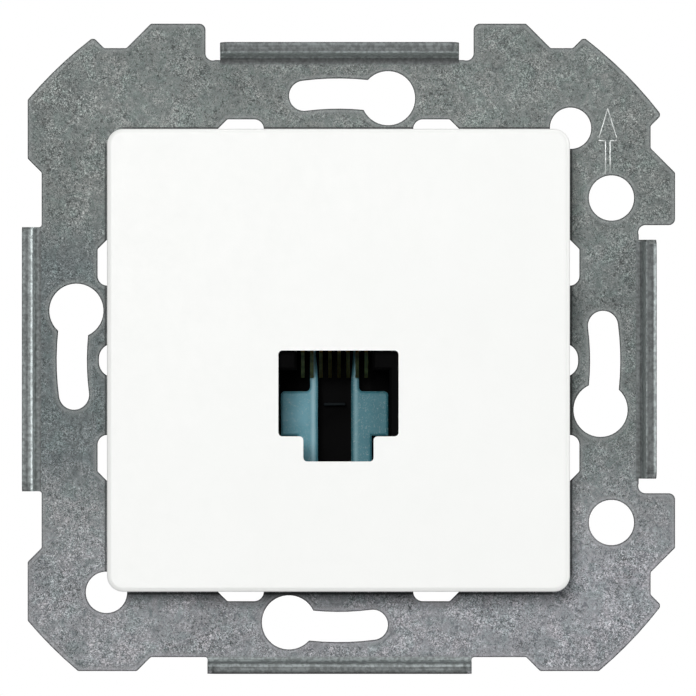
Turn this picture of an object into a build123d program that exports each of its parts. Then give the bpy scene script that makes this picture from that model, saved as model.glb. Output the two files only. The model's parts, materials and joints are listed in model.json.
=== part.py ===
"""Flush-mounted ethernet socket: folded support frame, cover plate, carrier and jack module.

Millimetres. X is the viewer's right, Z is up, and the viewer stands on the -Y side.
The origin is the middle of the fixing circle, on the back face of the sheet.
"""

import os

from build123d import *

os.makedirs("parts", exist_ok=True)

# Fixing holes of the support frame
FIXING_CIRCLE = 60.0        # diameter of the circle through the keyhole heads
HEAD_RADIUS = 3.05
KEY_SLOT = 3.4              # width of a keyhole's slot
HEAD_TURN = 10.7            # degrees from the upright to a head
SLOT_TURN = 7.4             # degrees from the upright to a slot's far end, the other way
SIDE_HOLE_RADIUS = 2.55
SIDE_HOLE_X = 30.7
SIDE_HOLE_Z = 18.25
CORNER_HOLE_RADIUS = 2.33
CORNER_HOLE_AT = 26.1       # the same in X and Z

# Sheet and its four bent flanges
SHEET = 1.2
BEND_INSIDE = 0.4
FLANGE_HEIGHT = 3.2         # how far a flange stands in front of the sheet
FLANGE_SHIFT = 0.12         # all four flanges sit a little to the right or up
FLANGE_ROUND = 1.0          # rounding of a flange's two free corners
TAB_FLANGE_OUT = 0.66       # flange's free edge past the step edge, on the tabbed sides
LEFT_FLANGE_OUT = 0.62      # flange's free edge past the near edge
BOTTOM_FLANGE_OUT = 0.28
TAB_LEAN = 0.4              # how far a flange's free edge leans out, on the tabbed sides
PLAIN_LEAN = 0.12
TAB_FLANGE_HALF = 13.43     # half length of the flanges on the tabbed sides
PLAIN_FLANGE_HALF = 14.85   # half length of the flanges on the recessed sides
ROOT_ROUND = 0.3            # corner between a plain flange's end and the sheet
RELIEF_SLOT = 1.65
RELIEF_DEPTH = 0.05         # how far a relief slot runs in past the bend

# Outline of the sheet
CORNER_CIRCLE = 91.2        # diameter that rounds the four corners
EDGE_NEAR = 34.95           # left and bottom edges
STEP_EDGE = 35.1            # right and top edges between corner and tab
STEP_HALF = 26.35           # half length from the middle to where that edge ends
CORNER_RISE = 1.05          # right and top corners past the step edge
TAB_FOOT = 23.85            # half length of the tabbed stretch at its foot
TAB_RISE = 2.75             # tabs past the step edge
TAB_ROUND = 0.7             # corner of a tab at the mouth of a relief slot
RECESS_FOOT = 22.67         # half length of the recess at its mouth
RECESS_DEPTH = 1.57
OUTLINE_ROUND = 0.35

# Middle opening of the sheet and its notches
OPENING_HALF = 22.6
BOX_RADIUS = 28.6           # all that stands behind the sheet stays inside this radius
NOTCH_REACH = 27.1
NOTCH_NEAR = 8.4
NOTCH_FAR = 13.6
NOTCH_BEVEL = 1.1
MIDDLE_NOTCH_HALF = 1.9
MIDDLE_NOTCH_REACH = 26.95
MIDDLE_NOTCH_ROUND = 1.7
NOTCH_ROOT = 1.0            # how far a notch's cut starts inside the opening

# Cover plate
COVER_HALF = 25.95
COVER_CORNER = 1.8
COVER_FRONT = 10.3          # front face, in front of the sheet's back face
COVER_WALL = 2.0
COVER_SKIRT = 1.8
COVER_EDGE = 0.5            # rounding of the front edge
COVER_LIFT = 0.5            # gap between the skirt and the sheet
PORT_HALF = 6.74
PORT_TOP = 1.10
PORT_SHOULDER = -8.53
PORT_NOTCH_HALF = 3.94
PORT_NOTCH_BOTTOM = -11.35
PORT_ROUND = 0.45
LEG_WIDTH = 5.0
LEG_THICK = 1.8
LEG_X = 14.6
LEG_Z = 16.0
LEG_TIP = 5.0               # how far the legs reach behind the sheet's back face

# Carrier behind the cover
FIT_GAP = 0.2               # clearance of a piece that slides or drops into another
CARRIER_WALL = 1.6
CARRIER_RIM = 1.4           # thickness of the rim in front of the sheet
RIM_GAP = 0.3               # rim to the inside of the cover's skirt
CARRIER_RIM_BEVEL = 3.6
CARRIER_FLOOR = 8.0         # back face of the floor, behind the sheet's back face
FLOOR_THICK = 2.0
SLEEVE_WALL = 1.2
SLEEVE_FRONT = 3.0          # how far the sleeves reach in front of the sheet's back face
STAKE_OUT = 1.52            # pegs through the sheet, outside the box's radius
STAKE_HEAD = 1.3            # radius of a peg's spread end, at the sheet's back face
STAKE_TAPER = 20            # degrees, narrower toward the front
STAKE_GAP = 0.06

# Jack module
JACK_X = -0.45              # middle of the jack
JACK_GAP = 0.3              # cover's inside to the jack's front face
JACK_WALL = 1.5
MOUTH_LEAD = 0.3            # lead-in round the plug's way in
CAVITY_HALF = 6.15
PLUG_TOP = -1.1
CAVITY_FLOOR = -8.6
COMB_HALF = 4.25
COMB_TOP = 3.1
LATCH_HALF = 4.3
LATCH_FLOOR = -12.6
PLUG_DEPTH = 12.6
INSERT_LENGTH = 4.2
JACK_BACK_WALL = 1.2
LEDGE = 1.1                 # shoulder that seats on the carrier's floor
LEDGE_THICK = 1.6
CLIP_REACH = 0.7
CLIP_ROOT = 0.4             # lug's root inside the body's wall
CLIP_LENGTH = 1.6

# Insert behind the plug's nose
CHANNEL_HALF = 1.87
BLOCK_TOP = -3.5
BAR_NEAR = 2.135
BAR_FAR = 2.765
BAR_TAPER_END = -2.4
BAR_TOP_GAP = 1.5           # top of the bars to the roof, where the contact wires pass
INSERT_ROUND = 0.45
BLOCK_ROUND = 0.45          # inner corner between a block and its bar
BAR_ROUND = 0.25            # top corners of a bar
BAR_FOOT_ROUND = 0.5        # where a bar's taper ends
BRIDGE_THICK = 0.9
LIP_HALF = 1.2              # half width of the small lip on the jack's back wall
LIP_Z = -4.95
LIP_THICK = 0.3
LIP_REACH = 1.5
INSERT_BEVEL = 0.22
BRIDGE_LAP = 0.5            # bridge into each block

# Contacts, board and terminals
CONTACT_COUNT = 8
CONTACT_PITCH = 1.02
CONTACT_WIRE = 0.4
CONTACT_SEAT = 2.35         # height of the wire's run under the roof
CONTACT_HOLE_GAP = 0.1      # wire to the side of its hole
CONTACT_BEND_Y = -1.0
CONTACT_NOSE = 1.0          # bend's rounded nose in front of the slope's start
CONTACT_DROP = 1.35
CONTACT_ROUND = 0.5
CONTACT_TIP_Z = -1.8
CONTACT_TIP_GAP = 0.5       # tip to the insert
BOARD_THICK = 1.6
BOARD_EDGE = 0.9            # how far the board stands past the jack body
BOARD_GAP = 0.1
TERMINAL_HALF = 7.7
TERMINAL_HEIGHT = 7.4
TERMINAL_DEPTH = 7.0
TERMINAL_SPLIT = 1.6        # gap between the two terminal blocks
WIRE_PITCH = 3.6
WIRE_SLOT = 1.3
WIRE_SLOT_DEPTH = 5.2
BLADE_WIDTH = 2.6
BLADE_THICK = 0.5
BLADE_REACH = 3.8           # blade's length above the slot's floor
BLADE_ROOT = 1.0            # blade's length in the block, under the slot's floor
BLADE_FIT = 0.1
BLADE_GAP = 0.45
HINGE_PIN = 0.8             # radius
HINGE_GAP = 0.08
HINGE_OUT = 1.5             # hinge axis beyond the block's outer face
HINGE_IN = 1.8              # hinge axis in front of the block's back face
EAR_THICK = 1.4
EAR_WALL = 1.0              # ear's material round its pin hole
CAP_THICK = 1.5
CAP_GAP = 0.25
CAP_LAP = 0.2               # lid's lap over the knuckle
TOOTH_REACH = 1.4
TOOTH_LENGTH = 1.3
TOOTH_OUT = 2.25            # teeth to the blade's middle plane

# Places worked out from the sizes above
cover_inside = -COVER_FRONT + COVER_WALL
jack_front = cover_inside + JACK_GAP
insert_front = jack_front + PLUG_DEPTH
insert_back = insert_front + INSERT_LENGTH
jack_back = insert_back + JACK_BACK_WALL
board_front = jack_back + BOARD_GAP
board_back = board_front + BOARD_THICK
terminal_back = board_back + TERMINAL_DEPTH
skirt_half = COVER_HALF - COVER_SKIRT
rim_half = skirt_half - RIM_GAP
jack_half = CAVITY_HALF + JACK_WALL
jack_top = COMB_TOP + JACK_WALL
jack_bottom = LATCH_FLOOR - JACK_WALL
jack_middle = (jack_top + jack_bottom) / 2
jack_tall = (jack_top - jack_bottom) / 2
floor_front = CARRIER_FLOOR - FLOOR_THICK
contact_hole = CONTACT_WIRE + 2 * CONTACT_HOLE_GAP
contact_places = [
    JACK_X + (i - (CONTACT_COUNT - 1) / 2) * CONTACT_PITCH for i in range(CONTACT_COUNT)
]


def upright(y):
    """Sketch plane at depth y that faces the viewer; a positive extrusion comes forward"""
    return Plane.XZ.offset(-y)


def turned(angle):
    """Place that turns a feature drawn on the top side to another side"""
    return Location((0, 0, 0), (0, 0, angle))


def stakes(gap):
    """Four tapered pegs that end, spread, in the plane of the sheet's back face"""
    with BuildPart(mode=Mode.PRIVATE) as pegs:
        with BuildSketch(upright(0)):
            with PolarLocations(BOX_RADIUS + STAKE_OUT, 4, start_angle=45):
                Circle(STAKE_HEAD + gap)
        extrude(amount=SHEET, taper=STAKE_TAPER)
    return pegs.part


def save(part, name):
    part.label = name
    export_step(part, f"parts/{name}.step")


def t_outline(half, top, shoulder, notch_half, notch_bottom):
    """Corners of a plug opening: a wide mouth with the latch's notch under it"""
    return [
        (-half, top),
        (half, top),
        (half, shoulder),
        (notch_half, shoulder),
        (notch_half, notch_bottom),
        (-notch_half, notch_bottom),
        (-notch_half, shoulder),
        (-half, shoulder),
    ]


# Support frame: the blank first
ALL_SIDES = (0, 90, 180, 270)
TABBED = (0, 270)
RECESSED = (90, 180)
edge_far = STEP_EDGE + CORNER_RISE
recess_edge = EDGE_NEAR - RECESS_DEPTH

with BuildSketch() as blank:
    with Locations(((edge_far - EDGE_NEAR) / 2, (edge_far - EDGE_NEAR) / 2)):
        Rectangle(edge_far + EDGE_NEAR, edge_far + EDGE_NEAR)
    Circle(CORNER_CIRCLE / 2, mode=Mode.INTERSECT)
    with Locations(*[turned(a) for a in TABBED]):
        Polygon(
            (-STEP_HALF, STEP_EDGE),
            (STEP_HALF, STEP_EDGE),
            (STEP_HALF + CORNER_RISE, edge_far),
            (-STEP_HALF - CORNER_RISE, edge_far),
            align=None,
            mode=Mode.SUBTRACT,
        )
        Polygon(
            (-TAB_FOOT, STEP_EDGE),
            (TAB_FOOT, STEP_EDGE),
            (TAB_FOOT - TAB_RISE, STEP_EDGE + TAB_RISE),
            (TAB_RISE - TAB_FOOT, STEP_EDGE + TAB_RISE),
            align=None,
        )
    with Locations(*[turned(a) for a in RECESSED]):
        Polygon(
            (RECESS_DEPTH - RECESS_FOOT, recess_edge),
            (RECESS_FOOT - RECESS_DEPTH, recess_edge),
            (RECESS_FOOT, EDGE_NEAR),
            (-RECESS_FOOT, EDGE_NEAR),
            align=None,
            mode=Mode.SUBTRACT,
        )
    fillet(blank.vertices(), OUTLINE_ROUND)

# Middle opening, shared by the sheet and the carrier that passes through it
with BuildSketch() as opening:
    Rectangle(2 * OPENING_HALF, 2 * OPENING_HALF)
    Circle(BOX_RADIUS, mode=Mode.INTERSECT)

with BuildSketch() as notches:
    for hand in (-1, 1):
        with BuildSketch(mode=Mode.PRIVATE) as notch:
            with BuildLine():
                FilletPolyline(
                    (hand * NOTCH_NEAR, OPENING_HALF - NOTCH_ROOT),
                    (hand * NOTCH_FAR, OPENING_HALF - NOTCH_ROOT),
                    (hand * NOTCH_FAR, NOTCH_REACH - NOTCH_BEVEL),
                    (hand * (NOTCH_FAR - NOTCH_BEVEL), NOTCH_REACH),
                    (hand * NOTCH_NEAR, NOTCH_REACH),
                    radius=[0, 0, OUTLINE_ROUND, OUTLINE_ROUND, NOTCH_BEVEL],
                    close=True,
                )
            make_face()
        with Locations(*[turned(a) for a in ALL_SIDES]):
            add(notch.sketch)
    RectangleRounded(2 * MIDDLE_NOTCH_REACH, 2 * MIDDLE_NOTCH_HALF, MIDDLE_NOTCH_ROUND)

with BuildSketch() as fixing_holes:
    with PolarLocations(FIXING_CIRCLE / 2, 4, start_angle=90 - HEAD_TURN):
        Circle(HEAD_RADIUS)
    for side in ALL_SIDES:
        slot_path = Edge.make_circle(
            FIXING_CIRCLE / 2,
            start_angle=side + 90 - HEAD_TURN,
            end_angle=side + 90 + SLOT_TURN,
        )
        SlotArc(slot_path, KEY_SLOT)
    with Locations((SIDE_HOLE_X, SIDE_HOLE_Z), (SIDE_HOLE_X, -SIDE_HOLE_Z)):
        Circle(SIDE_HOLE_RADIUS)
    with Locations((CORNER_HOLE_AT, CORNER_HOLE_AT), (-CORNER_HOLE_AT, -CORNER_HOLE_AT)):
        Circle(CORNER_HOLE_RADIUS)

# Each flange: turn from the top side, free edge, half length, lean and shift
flanges = [
    (0, STEP_EDGE + TAB_FLANGE_OUT, TAB_FLANGE_HALF, TAB_LEAN, FLANGE_SHIFT),
    (270, STEP_EDGE + TAB_FLANGE_OUT, TAB_FLANGE_HALF, TAB_LEAN, -FLANGE_SHIFT),
    (180, EDGE_NEAR + BOTTOM_FLANGE_OUT, PLAIN_FLANGE_HALF, PLAIN_LEAN, -FLANGE_SHIFT),
    (90, EDGE_NEAR + LEFT_FLANGE_OUT, PLAIN_FLANGE_HALF, PLAIN_LEAN, FLANGE_SHIFT),
]
flange_root = recess_edge - ROOT_ROUND  # outside the keyholes, inside every bend
tab_edge = STEP_EDGE + TAB_RISE
beyond = CORNER_CIRCLE / 2  # past every edge of the sheet
with BuildSketch() as sheet:
    add(blank.sketch)
    add(opening.sketch, mode=Mode.SUBTRACT)
    add(notches.sketch, mode=Mode.SUBTRACT)
    add(fixing_holes.sketch, mode=Mode.SUBTRACT)
    for turn, outer, half, lean, shift in flanges:
        bend_line = outer - lean - SHEET - BEND_INSIDE
        if turn in TABBED:
            slot_end = bend_line - RELIEF_DEPTH
            slot_long = beyond - slot_end
            with Locations(turned(turn)):
                Polygon(
                    (shift - half - RELIEF_SLOT / 2, bend_line),
                    (shift + half + RELIEF_SLOT / 2, bend_line),
                    (shift + half + RELIEF_SLOT / 2, beyond),
                    (shift - half - RELIEF_SLOT / 2, beyond),
                    align=None,
                    mode=Mode.SUBTRACT,
                )
            for hand in (-1, 1):
                slot_x = shift + hand * (half + RELIEF_SLOT / 2)
                with Locations(turned(turn) * Location((slot_x, slot_end + slot_long / 2, 0))):
                    SlotOverall(slot_long, RELIEF_SLOT, rotation=90, mode=Mode.SUBTRACT)
        else:
            root_half = half + ROOT_ROUND
            root_edge = recess_edge + ROOT_ROUND
            with Locations(turned(turn)):
                Polygon(
                    (shift - root_half, flange_root),
                    (shift + root_half, flange_root),
                    (shift + root_half, root_edge),
                    (shift - root_half, root_edge),
                    align=None,
                )
            for hand in (-1, 1):
                with Locations(turned(turn) * Location((shift + hand * root_half, root_edge, 0))):
                    Circle(ROOT_ROUND, mode=Mode.SUBTRACT)
    mouths = [
        v
        for v in sheet.vertices()
        if abs(max(v.X, v.Y) - tab_edge) < 0.01 and min(abs(v.X), abs(v.Y)) < TAB_FOOT - 2 * TAB_RISE
    ]
    fillet(mouths, TAB_ROUND)

free_edge = -SHEET - FLANGE_HEIGHT
peg_holes = stakes(STAKE_GAP)
with BuildPart() as support_frame:
    with BuildSketch(upright(0)):
        add(sheet.sketch)
    extrude(amount=SHEET)
    for turn, outer, half, lean, shift in flanges:
        outward = Vector(0, 0, 1).rotate(Axis.Y, -turn)
        along = Vector(1, 0, 0).rotate(Axis.Y, -turn)
        across = Plane(along * shift, x_dir=(0, 1, 0), z_dir=Vector(0, 1, 0).cross(outward))
        with BuildSketch(across):
            with BuildLine():
                FilletPolyline(
                    (0, flange_root),
                    (0, outer - lean),
                    (free_edge, outer),
                    (free_edge, outer - SHEET),
                    (-SHEET, outer - lean - SHEET),
                    (-SHEET, flange_root),
                    radius=[0, SHEET + BEND_INSIDE, 0, 0, BEND_INSIDE, 0],
                    close=True,
                )
            make_face()
        extrude(amount=half, both=True)
        free_ends = support_frame.edges(Select.LAST).filter_by(Axis((0, 0, 0), outward))
        fillet(free_ends.group_by(Axis.Y)[0], FLANGE_ROUND)
    add(peg_holes, mode=Mode.SUBTRACT)
save(support_frame.part, "support_frame")

# Cover plate: a shallow shell with a port and four legs
with BuildPart() as cover_plate:
    with BuildSketch(upright(-COVER_FRONT)):
        RectangleRounded(2 * COVER_HALF, 2 * COVER_HALF, COVER_CORNER)
    extrude(amount=-(COVER_FRONT - SHEET - COVER_LIFT))
    fillet(cover_plate.faces().sort_by(Axis.Y)[0].edges(), COVER_EDGE)
    with BuildSketch(upright(cover_inside)):
        Rectangle(2 * skirt_half, 2 * skirt_half)
    extrude(amount=-COVER_FRONT, mode=Mode.SUBTRACT)
    with BuildSketch(upright(cover_inside)):
        with GridLocations(2 * LEG_X, 2 * LEG_Z, 2, 2):
            Rectangle(LEG_WIDTH, LEG_THICK)
    extrude(amount=-(LEG_TIP - cover_inside))
    with BuildSketch(upright(-COVER_FRONT)):
        with BuildLine():
            FilletPolyline(
                t_outline(PORT_HALF, PORT_TOP, PORT_SHOULDER, PORT_NOTCH_HALF, PORT_NOTCH_BOTTOM),
                radius=PORT_ROUND,
                close=True,
            )
        make_face()
    extrude(amount=-(COVER_WALL + JACK_GAP), mode=Mode.SUBTRACT)
save(cover_plate.part, "cover_plate")

# Carrier: rim on the sheet, collar through the opening, floor with the jack's seat
pegs = stakes(0)
with BuildPart() as socket_carrier:
    with BuildSketch(upright(-SHEET)):
        Rectangle(2 * rim_half, 2 * rim_half)
        chamfer(vertices(), CARRIER_RIM_BEVEL)
    extrude(amount=CARRIER_RIM)
    with BuildSketch(upright(CARRIER_FLOOR)) as collar:
        add(opening.sketch)
        offset(amount=-FIT_GAP, kind=Kind.INTERSECTION)
    extrude(amount=CARRIER_FLOOR + SHEET)
    with BuildSketch(upright(floor_front)):
        add(opening.sketch)
        offset(amount=-FIT_GAP - CARRIER_WALL, kind=Kind.INTERSECTION)
    extrude(amount=floor_front + SHEET + CARRIER_RIM, mode=Mode.SUBTRACT)
    with BuildSketch(upright(floor_front)):
        with GridLocations(2 * LEG_X, 2 * LEG_Z, 2, 2):
            sleeve_grow = 2 * (FIT_GAP + SLEEVE_WALL)
            Rectangle(LEG_WIDTH + sleeve_grow, LEG_THICK + sleeve_grow)
    extrude(amount=floor_front + SLEEVE_FRONT)
    with BuildSketch(upright(floor_front)):
        with GridLocations(2 * LEG_X, 2 * LEG_Z, 2, 2):
            Rectangle(LEG_WIDTH + 2 * FIT_GAP, LEG_THICK + 2 * FIT_GAP)
    extrude(amount=floor_front + SLEEVE_FRONT, mode=Mode.SUBTRACT)
    with BuildSketch(upright(CARRIER_FLOOR)):
        with Locations((JACK_X, jack_middle)):
            Rectangle(2 * (jack_half + FIT_GAP), 2 * (jack_tall + FIT_GAP))
    extrude(amount=FLOOR_THICK, mode=Mode.SUBTRACT)
    # Pegs moulded on the rim, spread in tapered holes of the sheet
    add(pegs)
save(socket_carrier.part, "socket_carrier")

# Jack body: plug cavity, comb recess over it and latch notch under it
with BuildPart() as jack_body:
    with BuildSketch(upright(jack_back)):
        with Locations((JACK_X, jack_middle)):
            Rectangle(2 * jack_half, 2 * jack_tall)
    extrude(amount=jack_back - jack_front)
    with BuildSketch(upright(floor_front)):
        with Locations((JACK_X, jack_middle)):
            Rectangle(2 * (jack_half + LEDGE), 2 * jack_tall)
    extrude(amount=LEDGE_THICK)
    with BuildSketch(upright(jack_front)):
        with Locations((JACK_X, (PLUG_TOP + CAVITY_FLOOR) / 2)):
            Rectangle(2 * CAVITY_HALF, PLUG_TOP - CAVITY_FLOOR)
        with Locations((JACK_X, (COMB_TOP + PLUG_TOP) / 2)):
            Rectangle(2 * COMB_HALF, COMB_TOP - PLUG_TOP)
        with Locations((JACK_X, (CAVITY_FLOOR + LATCH_FLOOR) / 2)):
            Rectangle(2 * LATCH_HALF, CAVITY_FLOOR - LATCH_FLOOR)
    extrude(amount=-(insert_back - jack_front), mode=Mode.SUBTRACT)
    # Lead-in round the plug's way in
    mouth = jack_body.faces().filter_by(Axis.Y).sort_by(Axis.Y)[0]
    chamfer(mouth.inner_wires()[0].edges(), MOUTH_LEAD)
    # Snap lugs behind the carrier's floor
    for side, face_z in ((1, jack_top), (-1, jack_bottom)):
        with BuildSketch(Plane.YZ.offset(JACK_X)):
            lug_front = CARRIER_FLOOR + FIT_GAP / 2
            Polygon(
                (lug_front, face_z - side * CLIP_ROOT),
                (lug_front, face_z + side * CLIP_REACH),
                (lug_front + CLIP_LENGTH, face_z),
                (lug_front + CLIP_LENGTH, face_z - side * CLIP_ROOT),
                align=None,
            )
        extrude(amount=CAVITY_HALF / 2, both=True)
    # Small lip on the back wall, seen between the blocks of the insert
    with BuildSketch(upright(insert_back)):
        with Locations((JACK_X, LIP_Z)):
            Rectangle(2 * LIP_HALF, LIP_THICK)
    extrude(amount=LIP_REACH)
    # Square holes for the contacts through the back wall, over the insert
    with BuildSketch(upright(jack_back)):
        with Locations(*[(x, CONTACT_SEAT) for x in contact_places]):
            Rectangle(contact_hole, contact_hole)
    extrude(amount=JACK_BACK_WALL, mode=Mode.SUBTRACT)
save(jack_body.part, "jack_body")

# Insert at the end of the cavity: two blocks with upright bars, joined under the latch's way
insert_floor = LATCH_FLOOR + FIT_GAP / 2
insert_side = CAVITY_HALF - FIT_GAP / 2
with BuildPart() as jack_insert:
    for hand in (-1, 1):
        with BuildSketch(upright(insert_back)):
            with BuildLine():
                FilletPolyline(
                    (JACK_X + hand * CHANNEL_HALF, insert_floor),
                    (JACK_X + hand * (LATCH_HALF - FIT_GAP / 2), insert_floor),
                    (JACK_X + hand * (LATCH_HALF - FIT_GAP / 2), CAVITY_FLOOR + FIT_GAP / 2),
                    (JACK_X + hand * insert_side, CAVITY_FLOOR + FIT_GAP / 2),
                    (JACK_X + hand * insert_side, BLOCK_TOP),
                    (JACK_X + hand * BAR_FAR, BLOCK_TOP),
                    (JACK_X + hand * BAR_FAR, COMB_TOP - BAR_TOP_GAP),
                    (JACK_X + hand * BAR_NEAR, COMB_TOP - BAR_TOP_GAP),
                    (JACK_X + hand * CHANNEL_HALF, BAR_TAPER_END),
                    radius=[0, 0, 0, 0, INSERT_ROUND, BLOCK_ROUND, BAR_ROUND, BAR_ROUND, BAR_FOOT_ROUND],
                    close=True,
                )
            make_face()
        extrude(amount=INSERT_LENGTH)
    front_faces = jack_insert.faces().filter_by(Axis.Y).group_by(Axis.Y)[0]
    chamfer(front_faces.edges(), INSERT_BEVEL)
    with BuildSketch(upright(insert_back)):
        with Locations((JACK_X, insert_floor + BRIDGE_THICK / 2)):
            Rectangle(2 * (CHANNEL_HALF + BRIDGE_LAP), BRIDGE_THICK)
    extrude(amount=INSERT_LENGTH)
save(jack_insert.part, "jack_insert")

# Contacts of square wire: from the board, under the roof, round a bend and back to a free tip
for i, x in enumerate(contact_places):
    with BuildPart() as contact:
        with BuildSketch(Plane.YZ.offset(x)):
            with BuildLine():
                FilletPolyline(
                    (board_back, CONTACT_SEAT),
                    (CONTACT_BEND_Y - CONTACT_NOSE, CONTACT_SEAT),
                    (CONTACT_BEND_Y, CONTACT_SEAT - CONTACT_DROP),
                    (insert_front - CONTACT_TIP_GAP, CONTACT_TIP_Z),
                    radius=CONTACT_ROUND,
                )
            trace(line_width=CONTACT_WIRE)
        extrude(amount=CONTACT_WIRE / 2, both=True)
    save(contact.part, f"contact_{i + 1}")

# Board behind the jack body
board_half_x = jack_half + BOARD_EDGE
board_half_z = max(jack_tall, TERMINAL_HEIGHT + TERMINAL_SPLIT / 2) + BOARD_EDGE
with BuildPart() as circuit_board:
    with BuildSketch(upright(board_back)):
        with Locations((JACK_X, jack_middle)):
            Rectangle(2 * board_half_x, 2 * board_half_z)
        with Locations(*[(x, CONTACT_SEAT) for x in contact_places]):
            Rectangle(contact_hole, contact_hole, mode=Mode.SUBTRACT)
    extrude(amount=BOARD_THICK)
save(circuit_board.part, "circuit_board")

# Terminal blocks with their blades and hinged wire caps, above and below the middle
wire_places = [(i - 1.5) * WIRE_PITCH for i in range(4)]
slot_floor = terminal_back - WIRE_SLOT_DEPTH
hinge_y = terminal_back - HINGE_IN
for side, name, first in ((1, "upper", 1), (-1, "lower", 5)):
    near_z = jack_middle + side * TERMINAL_SPLIT / 2
    far_z = near_z + side * TERMINAL_HEIGHT
    mid_z = (near_z + far_z) / 2
    hinge_z = far_z + side * HINGE_OUT
    with BuildPart() as terminal:
        with BuildSketch(upright(board_back)):
            with Locations((JACK_X, mid_z)):
                Rectangle(2 * TERMINAL_HALF, TERMINAL_HEIGHT)
        extrude(amount=-TERMINAL_DEPTH)
        with BuildSketch(upright(terminal_back)):
            with Locations(*[(JACK_X + x, mid_z) for x in wire_places]):
                Rectangle(WIRE_SLOT, TERMINAL_HEIGHT)
        extrude(amount=WIRE_SLOT_DEPTH, mode=Mode.SUBTRACT)
        with BuildSketch(upright(terminal_back)):
            with Locations(*[(JACK_X + x, mid_z) for x in wire_places]):
                Rectangle(BLADE_WIDTH + 2 * BLADE_FIT, BLADE_THICK + 2 * BLADE_FIT)
        extrude(amount=WIRE_SLOT_DEPTH + BLADE_ROOT + BLADE_FIT, mode=Mode.SUBTRACT)
        for hand in (-1, 1):
            ear_x = JACK_X + hand * (TERMINAL_HALF - EAR_THICK / 2)
            with BuildSketch(Plane.YZ.offset(ear_x)):
                with Locations((hinge_y, hinge_z)):
                    Circle(HINGE_PIN + EAR_WALL)
                with Locations((hinge_y, (far_z + hinge_z) / 2)):
                    Rectangle(2 * (HINGE_PIN + EAR_WALL), HINGE_OUT)
                with Locations((hinge_y, hinge_z)):
                    Circle(HINGE_PIN + HINGE_GAP, mode=Mode.SUBTRACT)
            extrude(amount=EAR_THICK / 2, both=True)
    save(terminal.part, f"terminal_block_{name}")

    for i, x in enumerate(wire_places):
        with BuildPart() as blade:
            with BuildSketch(Plane.XY.offset(mid_z)):
                with Locations((JACK_X + x, slot_floor + (BLADE_REACH - BLADE_ROOT) / 2)):
                    Rectangle(BLADE_WIDTH, BLADE_REACH + BLADE_ROOT)
                with Locations((JACK_X + x, slot_floor + BLADE_REACH)):
                    Polygon(
                        (-BLADE_WIDTH / 3, 0),
                        (BLADE_WIDTH / 3, 0),
                        (BLADE_GAP / 2, -BLADE_WIDTH / 3),
                        (BLADE_GAP / 2, -BLADE_REACH),
                        (-BLADE_GAP / 2, -BLADE_REACH),
                        (-BLADE_GAP / 2, -BLADE_WIDTH / 3),
                        align=None,
                        mode=Mode.SUBTRACT,
                    )
            extrude(amount=BLADE_THICK / 2, both=True)
        save(blade.part, f"blade_{first + i}")

    # Wire cap: a lid over the block with pressing teeth, a knuckle and two hinge pins
    lid_front = terminal_back + CAP_GAP
    lid_near = near_z + side * CAP_GAP
    lid_far = hinge_z
    inner_half = TERMINAL_HALF - EAR_THICK - CAP_GAP
    with BuildPart() as wire_cap:
        with BuildSketch(upright(lid_front + CAP_THICK)):
            with Locations((JACK_X, (lid_near + far_z) / 2)):
                Rectangle(2 * TERMINAL_HALF, abs(far_z - lid_near))
            with Locations((JACK_X, (far_z + lid_far) / 2)):
                Rectangle(2 * inner_half, abs(lid_far - far_z) + CAP_LAP)
        extrude(amount=CAP_THICK)
        with BuildSketch(Plane.YZ.offset(JACK_X)):
            with Locations((hinge_y, hinge_z)):
                Circle(HINGE_OUT - CAP_GAP)
            with Locations(((hinge_y + lid_front + CAP_THICK) / 2, hinge_z)):
                Rectangle(lid_front + CAP_THICK - hinge_y, 2 * (HINGE_OUT - CAP_GAP))
        extrude(amount=inner_half, both=True)
        with BuildSketch(Plane.YZ.offset(JACK_X)):
            with Locations((hinge_y, hinge_z)):
                Circle(HINGE_PIN)
        extrude(amount=TERMINAL_HALF, both=True)
        for place in (-TOOTH_OUT, TOOTH_OUT):
            with BuildSketch(upright(lid_front)):
                with Locations(*[(JACK_X + x, mid_z + place) for x in wire_places]):
                    Rectangle(WIRE_SLOT - 2 * FIT_GAP, TOOTH_LENGTH)
            extrude(amount=TOOTH_REACH + CAP_GAP)
    save(wire_cap.part, f"wire_cap_{name}")
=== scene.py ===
# %% [markdown]
# A flush-mounted ethernet socket, seen from the front. The solid model gives every piece its
# place and size, and this file gives each one its finish. We start by loading that model.

# %% Load the solid model
import json
import math

import bpy
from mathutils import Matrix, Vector


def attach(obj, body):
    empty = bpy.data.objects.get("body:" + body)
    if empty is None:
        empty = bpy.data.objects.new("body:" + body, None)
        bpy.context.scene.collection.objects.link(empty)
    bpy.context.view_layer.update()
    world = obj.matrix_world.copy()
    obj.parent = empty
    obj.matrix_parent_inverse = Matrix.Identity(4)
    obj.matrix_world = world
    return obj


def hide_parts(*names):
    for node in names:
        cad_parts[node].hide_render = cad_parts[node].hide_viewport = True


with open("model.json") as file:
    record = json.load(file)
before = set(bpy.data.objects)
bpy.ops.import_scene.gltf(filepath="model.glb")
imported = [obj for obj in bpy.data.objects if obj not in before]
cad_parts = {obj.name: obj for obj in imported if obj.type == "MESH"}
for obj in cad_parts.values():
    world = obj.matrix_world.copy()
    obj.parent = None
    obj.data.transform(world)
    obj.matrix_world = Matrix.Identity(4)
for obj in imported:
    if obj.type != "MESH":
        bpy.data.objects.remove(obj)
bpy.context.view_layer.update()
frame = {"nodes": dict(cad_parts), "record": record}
nodes = frame["nodes"]
MM = 0.001
print("pieces loaded:", len(nodes))

# %% [markdown]
# The view comes first. A product picture is taken from far away with a long lens, so that the
# square cover stays square. The same framing could come from an orthographic camera, but a
# long lens also keeps its look when the camera walks round the socket.

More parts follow.
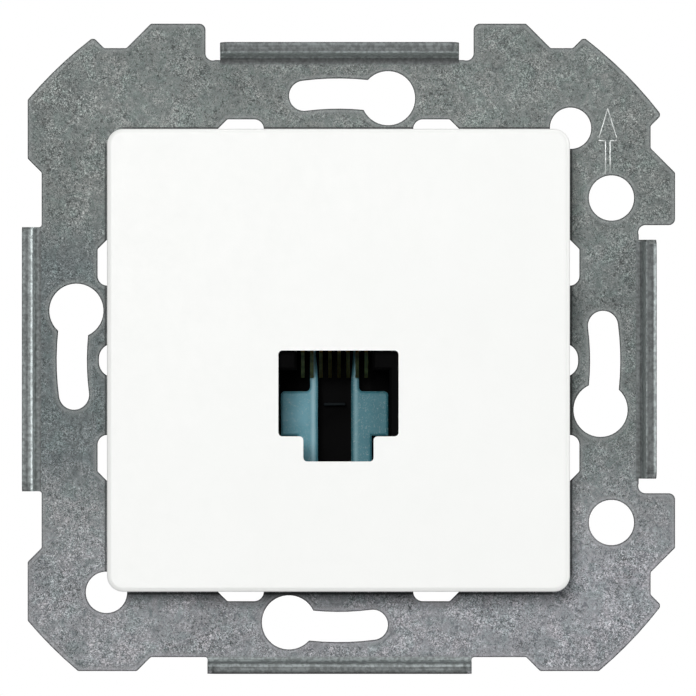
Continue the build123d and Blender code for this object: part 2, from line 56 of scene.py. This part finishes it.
# %% Camera
VIEW_DISTANCE = 3.0
VIEW_WIDTH = 78.3 * MM          # what the picture shows across, at the sheet
VIEW_CENTRE = (1.07 * MM, 1.38 * MM)
SENSOR = 36.0

camera_data = bpy.data.cameras.new("camera")
camera_data.sensor_width = SENSOR
camera_data.lens = SENSOR * VIEW_DISTANCE / VIEW_WIDTH
camera_data.clip_start = 0.05
camera_data.clip_end = 20
camera = bpy.data.objects.new("camera", camera_data)
camera.location = (VIEW_CENTRE[0], -VIEW_DISTANCE, VIEW_CENTRE[1])
camera.rotation_euler = (math.radians(90), 0, 0)
bpy.context.scene.collection.objects.link(camera)
bpy.context.scene.camera = camera
print("lens:", round(camera_data.lens), "mm")

# %% [markdown]
# The socket hangs before a pure white backdrop, with no floor under it. The main lamp is near the
# camera, a little to the left and above, so that the cover throws a short dark shadow to the right
# and downwards. Four side lamps only graze the metal and light its edges, and one lamp behind the
# socket serves the views of its back. The world is white to the camera but dim to the socket. Flat
# light from all sides alone would hide the shadow and the bent edges.

# %% Light
WORLD_LIGHT = 0.195
scene = bpy.context.scene
scene.view_settings.view_transform = "Standard"
world = bpy.data.worlds.new("white_room")
world.use_nodes = True
scene.world = world
world_nodes, world_links = world.node_tree.nodes, world.node_tree.links
backdrop = world_nodes["Background"]
backdrop.inputs["Color"].default_value = (1, 1, 1, 1)
ray = world_nodes.new("ShaderNodeLightPath")
strength = world_nodes.new("ShaderNodeMapRange")
strength.inputs["To Min"].default_value = WORLD_LIGHT
strength.inputs["To Max"].default_value = 1.0
world_links.new(ray.outputs["Is Camera Ray"], strength.inputs["Value"])
world_links.new(strength.outputs["Result"], backdrop.inputs["Strength"])


def add_lamp(name, place, size, power):
    """Square lamp that looks at the middle of the socket, in metres and watts"""
    data = bpy.data.lights.new(name, "AREA")
    data.size = size
    data.energy = power
    lamp = bpy.data.objects.new(name, data)
    lamp.location = place
    lamp.rotation_euler = (-Vector(place)).to_track_quat("-Z", "Y").to_euler()
    scene.collection.objects.link(lamp)


add_lamp("key_lamp", (-0.15, -1.86, 0.27), 0.40, 17.7)
add_lamp("right_lamp", (1.4, -0.35, 0.30), 0.4, 9.0)
add_lamp("upper_lamp", (0.1, -0.35, 1.4), 0.5, 6.0)
add_lamp("lower_lamp", (0.1, -0.25, -1.4), 0.5, 6.0)
add_lamp("left_lamp", (-1.4, -0.25, 0.2), 0.4, 5.0)
add_lamp("back_lamp", (0.5, 1.7, 0.9), 0.5, 20.0)

# %% [markdown]
# Three effects come back in several finishes: the fine grain of moulded plastic, small flecks,
# and edges that look rounded. Each effect is a node group, built once, so that a finish only
# states how large and how strong it is.

# %% Shared effects


def add_node(tree, kind, inputs, **settings):
    """New shader node; an input takes a number, a vector, a colour or a link from a socket"""
    node = tree.nodes.new("ShaderNode" + kind)
    for name, value in settings.items():
        setattr(node, name, value)
    for label, given in inputs.items():
        socket = node.inputs[label]
        if isinstance(given, bpy.types.NodeSocket):
            tree.links.new(given, socket)
        elif socket.type == "RGBA":
            socket.default_value = (*given, 1)
        else:
            socket.default_value = given
    return node


def new_group(name, inputs, outputs):
    """Empty node group with inputs (name: default, None for a vector) and outputs (name: kind)"""
    group = bpy.data.node_groups.new(name, "ShaderNodeTree")
    for label, default in inputs.items():
        kind = "NodeSocketVector" if default is None else "NodeSocketFloat"
        socket = group.interface.new_socket(label, in_out="INPUT", socket_type=kind)
        if default is not None:
            socket.default_value = default
    for label, kind in outputs.items():
        group.interface.new_socket(label, in_out="OUTPUT", socket_type=kind)
    entry = group.nodes.new("NodeGroupInput").outputs
    leave = group.nodes.new("NodeGroupOutput").inputs
    return group, entry, leave


def build_grain():
    """Fine even grain: a value round one half"""
    inputs = {"Vector": None, "Scale": 2000.0, "Contrast": 1.0}
    group, entry, leave = new_group("fine_grain", inputs, {"Value": "NodeSocketFloat"})
    place = {"Vector": entry["Vector"], "Scale": entry["Scale"]}
    noise = add_node(group, "TexNoise", {**place, "Detail": 3, "Roughness": 0.65})
    centred = add_node(group, "Math", {0: noise.outputs["Fac"], 1: 0.5}, operation="SUBTRACT")
    terms = {0: centred.outputs[0], 1: entry["Contrast"], 2: 0.5}
    scaled = add_node(group, "Math", terms, operation="MULTIPLY_ADD")
    group.links.new(scaled.outputs[0], leave["Value"])
    return group


def build_flecks():
    """Scattered small flecks: one where a fleck lies, nothing between them"""
    inputs = {"Vector": None, "Scale": 1500.0, "Amount": 0.3}
    group, entry, leave = new_group("flecks", inputs, {"Mask": "NodeSocketFloat"})
    place = {"Vector": entry["Vector"], "Scale": entry["Scale"]}
    shape = {"Detail": 4, "Roughness": 0.75, "Distortion": 1.2}
    noise = add_node(group, "TexNoise", {**place, **shape})
    height = add_node(group, "Math", {0: 1.0, 1: noise.outputs["Fac"]}, operation="SUBTRACT")
    low = add_node(group, "Math", {0: 0.72, 1: entry["Amount"]}, operation="SUBTRACT")
    high = add_node(group, "Math", {0: low.outputs[0], 1: 0.12}, operation="ADD")
    limits = {"From Min": low.outputs[0], "From Max": high.outputs[0]}
    mask = add_node(group, "MapRange", {"Value": height.outputs[0], **limits})
    group.links.new(mask.outputs["Result"], leave["Mask"])
    return group


def build_soft_edge():
    """Edges that look rounded: a mask of what lies within the radius, and the rounded normal"""
    outputs = {"Mask": "NodeSocketFloat", "Normal": "NodeSocketVector"}
    group, entry, leave = new_group("soft_edge", {"Radius": 0.0002}, outputs)
    rounded = add_node(group, "Bevel", {"Radius": entry["Radius"]}, samples=6).outputs["Normal"]
    flat = add_node(group, "NewGeometry", {}).outputs["True Normal"]
    turn = add_node(group, "VectorMath", {0: rounded, 1: flat}, operation="DOT_PRODUCT")
    limits = {"From Min": 0.998, "From Max": 0.90}
    mask = add_node(group, "MapRange", {"Value": turn.outputs["Value"], **limits})
    group.links.new(mask.outputs["Result"], leave["Mask"])
    group.links.new(rounded, leave["Normal"])
    return group


GRAIN = build_grain()
FLECKS = build_flecks()
SOFT_EDGE = build_soft_edge()
print("shared effects:", len(bpy.data.node_groups))

# %% [markdown]
# A helper class keeps the finishes short. It makes a material on the object's own coordinates,
# and each of its methods adds one kind of node and returns that node's result. So each finish
# below only says what is special about it.

# %% Helpers for finishes


class Finish:
    """A material under construction: its nodes, links, shader and coordinates"""

    def __init__(self, name, colour, roughness, metallic=0.0, specular=0.5):
        self.material = bpy.data.materials.new(name)
        self.material.use_nodes = True
        self.tree = self.material.node_tree
        self.shader = self.tree.nodes["Principled BSDF"]
        self.shader.inputs["Base Color"].default_value = (*colour, 1)
        self.shader.inputs["Roughness"].default_value = roughness
        self.shader.inputs["Metallic"].default_value = metallic
        self.shader.inputs["Specular IOR Level"].default_value = specular
        self.coords = add_node(self.tree, "TexCoord", {}).outputs["Object"]

    def use(self, value, socket):
        """Leads a value or colour into the shader"""
        self.tree.links.new(value, self.shader.inputs[socket])

    def group(self, tree, output=0, **values):
        """One output of a shared effect"""
        node = add_node(self.tree, "Group", values, node_tree=tree)
        if "Vector" in node.inputs:
            self.tree.links.new(self.coords, node.inputs["Vector"])
        return node.outputs[output]

    def noise(self, scale, detail=2.0, roughness=0.5, distortion=0.0):
        inputs = {"Vector": self.coords, "Scale": scale, "Detail": detail}
        inputs.update({"Roughness": roughness, "Distortion": distortion})
        return add_node(self.tree, "TexNoise", inputs).outputs["Fac"]

    def stretched(self, scale, detail):
        """Noise drawn out along one axis, for streaks"""
        place = add_node(self.tree, "Mapping", {"Vector": self.coords, "Scale": scale})
        inputs = {"Vector": place.outputs["Vector"], "Scale": 1.0, "Detail": detail}
        return add_node(self.tree, "TexNoise", inputs).outputs["Fac"]

    def ramp(self, value, stops):
        """Colour ramp with (position, colour) stops"""
        node = add_node(self.tree, "ValToRGB", {"Fac": value})
        elements = node.color_ramp.elements
        elements[0].position, elements[1].position = stops[0][0], stops[-1][0]
        for position, _ in stops[1:-1]:
            elements.new(position)
        for element, (_, colour) in zip(elements, stops):
            element.color = (*colour, 1)
        return node.outputs["Color"]

    def span(self, value, low, high, to_low=0.0, to_high=1.0):
        """Value led from low to high over to to_low to to_high, and held at both ends"""
        inputs = {"Value": value, "From Min": low, "From Max": high}
        inputs.update({"To Min": to_low, "To Max": to_high})
        return add_node(self.tree, "MapRange", inputs).outputs["Result"]

    def mix(self, factor, first, second, kind="MIX"):
        """Blend of two colours"""
        inputs = {0: factor, 6: first, 7: second}
        return add_node(self.tree, "Mix", inputs, data_type="RGBA", blend_type=kind).outputs[2]

    def calc(self, kind, first, second=0.0):
        """Arithmetic on two values; kind names the operation"""
        return add_node(self.tree, "Math", {0: first, 1: second}, operation=kind).outputs[0]

    def times(self, first, second):
        return self.calc("MULTIPLY", first, second)

    def axis(self, letter):
        """One coordinate of the point, in metres"""
        return add_node(self.tree, "SeparateXYZ", {0: self.coords}).outputs[letter]

    def distance(self, letter, middle=0.0):
        """How far the point is from a plane across that axis, in metres"""
        return self.calc("ABSOLUTE", self.calc("SUBTRACT", self.axis(letter), middle))

    def near(self, value, middle, far, close, most=1.0):
        """The number most where a value is as close to a middle as that, and nothing past far"""
        away = self.calc("ABSOLUTE", self.calc("SUBTRACT", value, middle))
        return self.span(away, far, close, 0.0, most)

    def bump(self, value, distance, strength=1.0, rounding=0.0):
        """Relief from a value; rounding also softens the shading of the edges near it"""
        inputs = {"Height": value, "Strength": strength, "Distance": distance}
        if rounding:
            inputs["Normal"] = self.group(SOFT_EDGE, "Normal", Radius=rounding)
        self.use(add_node(self.tree, "Bump", inputs).outputs["Normal"], "Normal")


GRAIN_SIZE = 0.35 * MM          # of moulded plastic


def moulded(name, colour, darker, roughness, bump=0.01 * MM):
    """Moulded plastic: a colour that wanders a little and a fine grain in the surface"""
    finish = Finish(name, colour, roughness)
    grain = finish.group(GRAIN, Scale=1 / GRAIN_SIZE, Contrast=1.2)
    wander = finish.span(finish.noise(90.0, 3.0), 0.35, 0.7)
    finish.use(finish.mix(wander, colour, darker), "Base Color")
    finish.use(finish.span(grain, 0.2, 0.8, roughness - 0.06, roughness + 0.08), "Roughness")
    finish.bump(grain, bump)
    return finish.material


# %% [markdown]
# Galvanised sheet is steel that was dipped in zinc. From near, the zinc is a crowd of small
# grey-green and blue-grey crystals with dark flecks between them. A photograph of it could be
# pasted on, but procedural noise at several sizes gives the same look and never repeats. The
# sheet's tone is built in layers, each of which takes the tone so far and hands it on.

# %% Finish: galvanised sheet, crystals and regions
DARK, MIDDLE, LIGHT = (0.035, 0.041, 0.039), (0.180, 0.196, 0.194), (0.52, 0.53, 0.53)
CORNER_START, CORNER_FULL = 300 * MM ** 2, 900 * MM ** 2  # distance across times distance up
BLOTCHES = [
    (0.32, (0.62, 0.66, 0.66)), (0.46, (0.96, 0.97, 0.96)),
    (0.56, (1.04, 1.03, 1.02)), (0.70, (1.50, 1.50, 1.48)),
]
TINTS = [(0.36, (0.93, 1.0, 0.98)), (0.5, (1.0, 1.0, 1.0)), (0.64, (1.04, 1.0, 1.0))]


def zinc_crystals(finish, fine):
    """Fine crystals, pale worm-like lines between them, calm areas, and spots in patches"""
    grey = [(0.34, (0.055, 0.064, 0.062)), (0.5, MIDDLE), (0.66, (0.42, 0.435, 0.43))]
    tone = finish.ramp(fine, grey)
    worms = finish.near(finish.noise(2700.0, 2.0, 0.5, 2.4), 0.5, 0.015, 0.0, 0.8)
    tone = finish.mix(worms, tone, LIGHT)
    calm = finish.span(finish.noise(300.0, 3.0, 0.65, 0.8), 0.44, 0.60, 0.0, 0.8)
    tone = finish.mix(calm, tone, MIDDLE)
    corner = finish.times(finish.distance("X"), finish.distance("Z"))
    corner = finish.span(corner, CORNER_START, CORNER_FULL)
    patch = finish.span(finish.noise(110.0, 3.0, 0.6), 0.36, 0.64, -0.06, 0.05)
    patch = finish.calc("ADD", patch, finish.times(corner, 0.012))
    spots = finish.calc("ADD", finish.noise(3700.0, 2.0, 0.6, 1.4), patch)
    tone = finish.mix(finish.span(spots, 0.59, 0.64, 0.0, 0.85), tone, DARK)
    # Larger blotches, some a little greener or warmer, and a few bright glints
    blotch = finish.ramp(finish.noise(1300.0, 3.0, 0.65, 1.0), BLOTCHES)
    tone = finish.mix(1.0, tone, blotch, "MULTIPLY")
    tint = finish.ramp(finish.noise(520.0, 4.0, 0.7, 1.0), TINTS)
    tone = finish.mix(1.0, tone, tint, "MULTIPLY")
    glints = finish.group(FLECKS, Scale=2300.0, Amount=0.065)
    return finish.mix(finish.times(glints, 0.75), tone, (0.85, 0.87, 0.86))


def lower_part(finish):
    """Mask that rises toward the bottom, most of all on the right"""
    down = finish.span(finish.axis("Z"), -8 * MM, -24 * MM)
    return finish.times(down, finish.span(finish.axis("X"), -30 * MM, 30 * MM, 0.70, 1.0))


def zinc_regions(finish, tone, lower):
    """Painted shade toward the middle of the sides; lighter, more mauve and pitted below"""
    hue = finish.mix(lower, (0.69, 0.72, 0.705), (1.25, 1.20, 1.31))
    # Painted shade: darker toward the middle of the sides, most on the left
    sides = finish.times(finish.span(finish.distance("Z"), 17 * MM, 11 * MM),
                         finish.span(finish.axis("X"), 30 * MM, -30 * MM, 0.15, 0.50))
    hue = finish.mix(sides, hue, (0.3, 0.38, 0.44))
    tone = finish.mix(1.0, tone, hue, "MULTIPLY")
    pits = finish.times(finish.span(finish.noise(1900.0, 1.0, 0.5, 0.8), 0.63, 0.69), lower)
    return finish.mix(finish.times(pits, 0.7), tone, (0.085, 0.09, 0.105))


# %% [markdown]
# The punch rolls the sheet's edges over, which leaves them smooth and pale, and a dark line is
# painted at the very rim as painted shade. The soft edge group finds the edges, whatever the
# outline.
# A thin dark line painted round where the cover ends is painted shadow of the cover on the sheet.

# %% Finish: galvanised sheet, edges and painted shadow
ROLL_RADIUS = 1.2 * MM
RIM_RADIUS = 0.32 * MM
COVER_LINE = 26.18 * MM         # from the cover's middle to the painted shadow line
COVER_MIDDLE = -0.06 * MM       # height of the cover's middle
COVER_ROUND_START, COVER_ROUND_END = 24.0 * MM, 24.8 * MM  # where the line fades at a corner


def sheet_edges(finish, tone, lower, front, rim):
    """Rolled border, a dark rim painted as shade, and grey cut walls"""
    smooth = finish.mix(lower, (0.215, 0.23, 0.228), (0.30, 0.295, 0.315))
    rolled = finish.group(SOFT_EDGE, Radius=ROLL_RADIUS)
    border = finish.times(finish.span(rolled, 0.0, 0.12), finish.span(rolled, 0.5, 0.2))
    tone = finish.mix(finish.span(rolled, 0.15, 0.45, 0.0, 0.8), tone, smooth)
    tone = finish.mix(finish.times(border, 0.55), tone, DARK)
    # The dark rim is painted shade, standing in for the shade on the cut walls
    tone = finish.mix(finish.times(rim, 0.95), tone, (0.010, 0.012, 0.012))
    back = finish.span(finish.axis("Y"), -0.06 * MM, -0.02 * MM)
    wall = finish.calc("SUBTRACT", 1.0, finish.calc("ADD", front, back))
    return finish.mix(wall, tone, (0.095, 0.10, 0.10))


def cover_shadow_line(finish, tone, front):
    """Painted shadow: a thin dark line round the cover, which fades before the cover's rounded
    corners
    """
    outer = finish.calc("MAXIMUM", finish.distance("X"), finish.distance("Z", COVER_MIDDLE))
    line = finish.near(outer, COVER_LINE, 0.15 * MM, 0.07 * MM)
    along = finish.calc("MINIMUM", finish.distance("X"), finish.distance("Z"))
    line = finish.times(line, finish.span(along, COVER_ROUND_END, COVER_ROUND_START))
    return finish.mix(finish.times(finish.times(line, front), 0.8), tone, (0.010, 0.011, 0.011))


# %% [markdown]
# The four flanges were bent, and each gets stripes of painted highlight and shade from the fold to
# the free edge. A colour ramp across the flange holds these stripes, and streaks along it break
# them up.

# %% Finish: galvanised sheet, flanges with painted highlight and shade

# Painted highlight and shade across each flange, from the sheet outward: (millimetres from the
# middle, grey). The greys at the fold are higher, because little light gets there.
FLANGE_LIGHT_AND_SHADE = {
    "right": [
        (33.5, 0.11), (34.0, 0.09), (34.5, 0.36), (34.75, 0.09), (35.35, 0.085), (35.55, 0.42),
        (35.8, 0.14),
    ],
    "left": [
        (33.5, 0.09), (34.1, 0.22), (34.4, 0.95), (34.65, 0.20), (34.75, 0.23), (35.0, 0.08),
        (35.4, 0.19),
    ],
    "top": [
        (33.3, 0.10), (33.65, 0.035), (33.9, 0.05), (34.2, 0.34), (34.5, 0.46), (34.75, 0.10),
        (35.3, 0.11), (35.55, 0.17), (35.8, 0.07),
    ],
    "bottom": [
        (33.4, 0.21), (33.8, 0.28), (34.1, 0.16), (34.35, 0.30), (34.5, 0.10), (34.7, 0.15),
        (35.05, 0.06), (35.15, 0.01),
    ],
}
# Each flange: axis across it, its side, half length and shift along it, in millimetres
FLANGES = {
    "right": ("X", 1, 13.43, -0.12),
    "left": ("X", -1, 14.85, 0.12),
    "top": ("Z", 1, 13.43, 0.12),
    "bottom": ("Z", -1, 14.85, 0.12),
}
FLANGE_TINT = (0.93, 1.03, 1.03)
FRONT = -1.2 * MM               # place of the sheet's front along Y
FLANGE_EDGE = -4.4 * MM         # place of the flanges' free edges along Y
FLANGE_INSIDE, FLANGE_OUTSIDE = 34.8 * MM, 35.0 * MM  # where the inner side's tones fade out
ALONG_X, ALONG_Z = (90.0, 5200.0, 5200.0), (5200.0, 5200.0, 90.0)  # noise scale of the streaks


def painted_flange_light(finish, name):
    """Painted highlight and shade across one flange, and a mask that is one on it alone"""
    letter, side, half, shift = FLANGES[name]
    tones = FLANGE_LIGHT_AND_SHADE[name]
    first, last = tones[0][0], tones[-1][0]
    across = finish.span(finish.axis(letter), side * first * MM, side * last * MM)
    stops = []
    for at, grey in tones:
        stops.append(((at - first) / (last - first), tuple(grey * part for part in FLANGE_TINT)))
    other = "Z" if letter == "X" else "X"
    mask = finish.span(finish.distance(other, shift * MM), (half + 0.05) * MM, half * MM)
    started = finish.span(finish.axis(letter), side * (first - 0.1) * MM, side * first * MM)
    mask = finish.times(mask, started)
    # The painted light and shade lie on the free edge and on the inner side, and not on the outer
    # side or the back
    depth = finish.axis("Y")
    free_edge = finish.span(depth, FLANGE_EDGE + 0.2 * MM, FLANGE_EDGE + 0.1 * MM)
    inner = finish.times(finish.span(finish.distance(letter), FLANGE_OUTSIDE, FLANGE_INSIDE),
                         finish.span(depth, FRONT + 0.2 * MM, FRONT + 0.1 * MM))
    return finish.ramp(across, stops), finish.times(mask, finish.calc("MAXIMUM", free_edge, inner))


def flanges(finish, tone):
    """Painted highlight and shade stripes of all four flanges, broken up by streaks along them and
    by dots
    """
    lying, standing = finish.stretched(ALONG_X, 3.0), finish.stretched(ALONG_Z, 3.0)
    dots = finish.span(finish.noise(2600.0, 1.0), 0.38, 0.62, 0.72, 1.28)
    for name, (letter, *_) in FLANGES.items():
        colours, mask = painted_flange_light(finish, name)
        streak = finish.span(standing if letter == "X" else lying, 0.3, 0.7, 0.80, 1.20)
        colours = finish.mix(1.0, colours, finish.times(streak, dots), "MULTIPLY")
        tone = finish.mix(mask, tone, colours)
    return tone


def galvanised_sheet():
    """The sheet's whole finish: all layers in turn, then gloss and relief"""
    finish = Finish("galvanised_sheet", MIDDLE, 0.5, 0.25)
    fine = finish.noise(6400.0, 2.0, 0.7, 0.6)
    lower = lower_part(finish)
    front = finish.span(finish.axis("Y"), FRONT + 0.10 * MM, FRONT + 0.03 * MM)
    rim = finish.group(SOFT_EDGE, Radius=RIM_RADIUS)
    tone = zinc_crystals(finish, fine)
    tone = zinc_regions(finish, tone, lower)
    tone = sheet_edges(finish, tone, lower, front, rim)
    # The thin dark line round the cover is painted shadow
    tone = cover_shadow_line(finish, tone, front)
    finish.use(flanges(finish, tone), "Base Color")
    finish.use(finish.span(rim, 0.0, 0.8, 0.5, 0.0), "Specular IOR Level")
    finish.use(finish.span(fine, 0.3, 0.7, 0.60, 0.40), "Roughness")
    finish.bump(fine, 0.03 * MM, 0.6, rounding=0.22 * MM)
    return finish.material


SHEET_FINISH = galvanised_sheet()
print("nodes in the sheet's finish:", len(SHEET_FINISH.node_tree.nodes))

# %% [markdown]
# The other finishes are plastics and plated metals. The cover's white is smooth and slightly
# glossy. The blue-grey insert holds glass fibres, which show as fine pale specks, and carries
# painted highlights and shade. The jack's black is painted darker than real plastic, as painted
# shade, because almost no light comes back out of the plug's way.

# %% Finish: plastics and plated metals
JACK_X = -0.45 * MM             # middle of the jack
BAR_HIGHLIGHT = 2.40 * MM            # from there to the painted highlight on each upright bar
CAVITY_END = 9.3 * MM           # back of the sheet to the back wall's outer part
LIP_AT = 7.3 * MM               # back of the sheet to the lip on the back wall


def insert_plastic():
    finish = Finish("blue_grey_plastic", (0.14, 0.36, 0.44), 0.36, specular=0.12)
    cloud = finish.span(finish.noise(420.0, 3.0, 0.6), 0.3, 0.7)
    tone = finish.mix(cloud, (0.125, 0.370, 0.455), (0.180, 0.455, 0.55))
    # Painted highlight along the upright bars, and painted shade on the right
    bars = finish.near(finish.distance("X", JACK_X), BAR_HIGHLIGHT, 0.34 * MM, 0.06 * MM, 0.62)
    tone = finish.mix(bars, tone, (0.50, 0.78, 0.86))
    right = finish.span(finish.axis("X"), -3.0 * MM, 4.5 * MM)
    tone = finish.mix(right, tone, finish.mix(1.0, tone, (0.38, 0.52, 0.52), "MULTIPLY"))
    # Painted shade: a dark strip on the right bar, toward the middle
    strip = finish.times(finish.span(finish.axis("X"), 1.9 * MM, 1.4 * MM, 0.0, 0.6),
                         finish.span(finish.axis("X"), -1.0 * MM, 0.0))
    tone = finish.mix(strip, tone, (0.02, 0.06, 0.075))
    specks = finish.times(finish.group(FLECKS, Scale=4200.0, Amount=0.165), 0.7)
    finish.use(finish.mix(specks, tone, (0.46, 0.60, 0.62)), "Base Color")
    finish.bump(finish.group(GRAIN, Scale=3000.0, Contrast=1.4), 0.012 * MM, rounding=0.2 * MM)
    return finish.material


def jack_plastic():
    """Black plastic, painted nearly black inside the plug's way as painted shade"""
    finish = Finish("black_plastic", (0.01, 0.01, 0.01), 0.6, specular=0.04)
    # Painted shade: nearly black in front of the back wall's outer part
    behind = finish.span(finish.axis("Y"), CAVITY_END, CAVITY_END + 0.4 * MM)
    tone = finish.mix(behind, (0.0006, 0.0006, 0.0007), (0.016, 0.016, 0.017))
    # The small lip on the back wall is painted a little paler, as a painted highlight
    lip_highlight = finish.near(finish.axis("Y"), LIP_AT, 0.1 * MM, 0.02 * MM)
    finish.use(finish.mix(lip_highlight, tone, (0.012, 0.016, 0.018)), "Base Color")
    finish.bump(finish.group(GRAIN, Scale=2800.0, Contrast=1.2), 0.01 * MM)
    return finish.material


def plated(name, colour, worn, roughness):
    """Thin plated metal, a little uneven in colour and gloss"""
    finish = Finish(name, colour, roughness, 1.0)
    wander = finish.noise(700.0, 4.0, 0.6)
    finish.use(finish.mix(finish.span(wander, 0.35, 0.7), colour, worn), "Base Color")
    finish.use(finish.span(wander, 0.3, 0.7, roughness - 0.08, roughness + 0.12), "Roughness")
    return finish.material


# Moulded plastics: colour, darker colour, roughness, and the relief's height where it is special
MOULDED = {
    "white_plastic": ((0.90, 0.908, 0.89), (0.888, 0.897, 0.878), 0.38, 0.004 * MM),
    "grey_plastic": ((0.030, 0.032, 0.034), (0.022, 0.023, 0.025), 0.5),
    "board": ((0.012, 0.085, 0.038), (0.010, 0.065, 0.030), 0.35),
    "terminal_plastic": ((0.025, 0.025, 0.028), (0.018, 0.018, 0.02), 0.45),
    "cap_plastic": ((0.50, 0.53, 0.55), (0.46, 0.49, 0.51), 0.35),
}
FINISHES = {
    "galvanised_sheet": SHEET_FINISH,
    "black_plastic": jack_plastic(),
    "blue_grey_plastic": insert_plastic(),
    "contact_gold": plated("contact_gold", (0.30, 0.20, 0.06), (0.16, 0.10, 0.035), 0.42),
    "blade_metal": plated("blade_metal", (0.66, 0.65, 0.62), (0.55, 0.54, 0.52), 0.3),
}
FINISHES.update({name: moulded(name, *values) for name, values in MOULDED.items()})
slot_of = {p["node"]: p["material_slot"] for p in frame["record"]["subparts"]}
for name, node in nodes.items():
    node.data.materials.clear()
    node.data.materials.append(FINISHES[slot_of[name]])
print("finishes:", len(FINISHES))

# %% [markdown]
# Real edges are never perfectly sharp. The model's solids are, so the moulded pieces of the jack
# and of its carrier get a copy with a tiny bevel that catches the light. The copy is merged and
# its flat faces are joined first, because the bevel needs clean edges to follow. The sheet and
# the insert keep their own meshes, because their finishes already round the shading at the edges.

# %% Soft edges on the moulded pieces


def edit_mode(piece):
    bpy.ops.object.select_all(action="DESELECT")
    bpy.context.view_layer.objects.active = piece
    piece.select_set(True)
    bpy.ops.object.mode_set(mode="EDIT")


def soft_copy(node, name, width, body):
    """Copy of a solid with its sharp edges bevelled, which then stands for it"""
    piece = bpy.data.objects.new(name, nodes[node].data.copy())
    scene.collection.objects.link(piece)
    edit_mode(piece)
    bpy.ops.mesh.select_all(action="SELECT")
    bpy.ops.mesh.remove_doubles(threshold=1e-6)
    bpy.ops.mesh.dissolve_limited(angle_limit=math.radians(0.5))
    bpy.ops.object.mode_set(mode="OBJECT")
    bevel = piece.modifiers.new("edge", "BEVEL")
    bevel.width = width
    bevel.segments = 2
    bevel.limit_method = "ANGLE"
    bevel.angle_limit = math.radians(35)
    bevel.use_clamp_overlap = False
    bpy.ops.object.modifier_apply(modifier="edge")
    bpy.ops.object.shade_smooth_by_angle(angle=math.radians(28))
    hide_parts(node)
    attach(piece, body)
    print(name, "faces:", len(piece.data.polygons))


body_of_node = {n: b for b, group in frame["record"]["behaviour"]["bodies"].items() for n in group}
EDGE_WIDTHS = {
    "jack_body": 0.06 * MM,
    "socket_carrier": 0.12 * MM,
    "terminal_block_upper": 0.08 * MM,
    "terminal_block_lower": 0.08 * MM,
    "wire_cap_upper": 0.1 * MM,
    "wire_cap_lower": 0.1 * MM,
}
for node, width in EDGE_WIDTHS.items():
    soft_copy(node, f"{node}_dressed", width, body_of_node[node])

# %% [markdown]
# The sheet carries one stamped sign, a hollow arrow that shows which way is up. Its raised lines
# are thin bars that lie half in the sheet. Each bar starts as a cube, which is stretched, turned
# and bevelled, and then all are joined to one piece.

# %% Stamped arrow
ARROW_X = 30.28 * MM
ARROW_TIP = 28.30 * MM
ARROW_NECK = 24.70 * MM
ARROW_FOOT = 21.00 * MM
ARROW_HALF = 0.97 * MM
SHAFT_HALF = 0.26 * MM
LINE_WIDTH = 0.16 * MM
LINE_RISE = 0.07 * MM
arrow_lines = [
    ((ARROW_X, ARROW_TIP), (ARROW_X - ARROW_HALF, ARROW_NECK + 0.35 * MM)),
    ((ARROW_X, ARROW_TIP), (ARROW_X + ARROW_HALF, ARROW_NECK + 0.35 * MM)),
    ((ARROW_X - ARROW_HALF, ARROW_NECK), (ARROW_X - SHAFT_HALF, ARROW_NECK)),
    ((ARROW_X + SHAFT_HALF, ARROW_NECK), (ARROW_X + ARROW_HALF, ARROW_NECK)),
    ((ARROW_X - SHAFT_HALF, ARROW_NECK), (ARROW_X - SHAFT_HALF, ARROW_FOOT)),
    ((ARROW_X + SHAFT_HALF, ARROW_NECK), (ARROW_X + SHAFT_HALF, ARROW_FOOT)),
]


def raised_line(start, end):
    """Rounded bar from start to end, each (x, z), half sunk in the front of the sheet"""
    middle = ((start[0] + end[0]) / 2, FRONT, (start[1] + end[1]) / 2)
    across, up = end[0] - start[0], end[1] - start[1]
    bpy.ops.object.select_all(action="DESELECT")
    bpy.ops.mesh.primitive_cube_add(size=1, location=middle)
    bar = bpy.context.object
    bar.scale = (LINE_WIDTH, 2 * LINE_RISE, math.hypot(across, up) + LINE_WIDTH)
    bar.rotation_euler = (0, math.atan2(across, up), 0)
    bpy.ops.object.transform_apply(location=True, rotation=True, scale=True)
    bpy.ops.object.mode_set(mode="EDIT")
    bpy.ops.mesh.select_all(action="SELECT")
    bpy.ops.mesh.bevel(offset=LINE_RISE * 0.8, segments=3)
    bpy.ops.object.mode_set(mode="OBJECT")
    return bar


bars = [raised_line(start, end) for start, end in arrow_lines]
bpy.ops.object.select_all(action="DESELECT")
for bar in bars:
    bar.select_set(True)
bpy.context.view_layer.objects.active = bars[0]
bpy.ops.object.join()
arrow = bpy.context.object
arrow.name = "stamped_arrow"
bpy.ops.object.shade_smooth_by_angle(angle=math.radians(40))
arrow.data.materials.clear()
arrow.data.materials.append(plated("bright_ridge", (0.66, 0.68, 0.67), (0.22, 0.24, 0.235), 0.45))
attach(arrow, "base")
print("stamped arrow faces:", len(arrow.data.polygons))
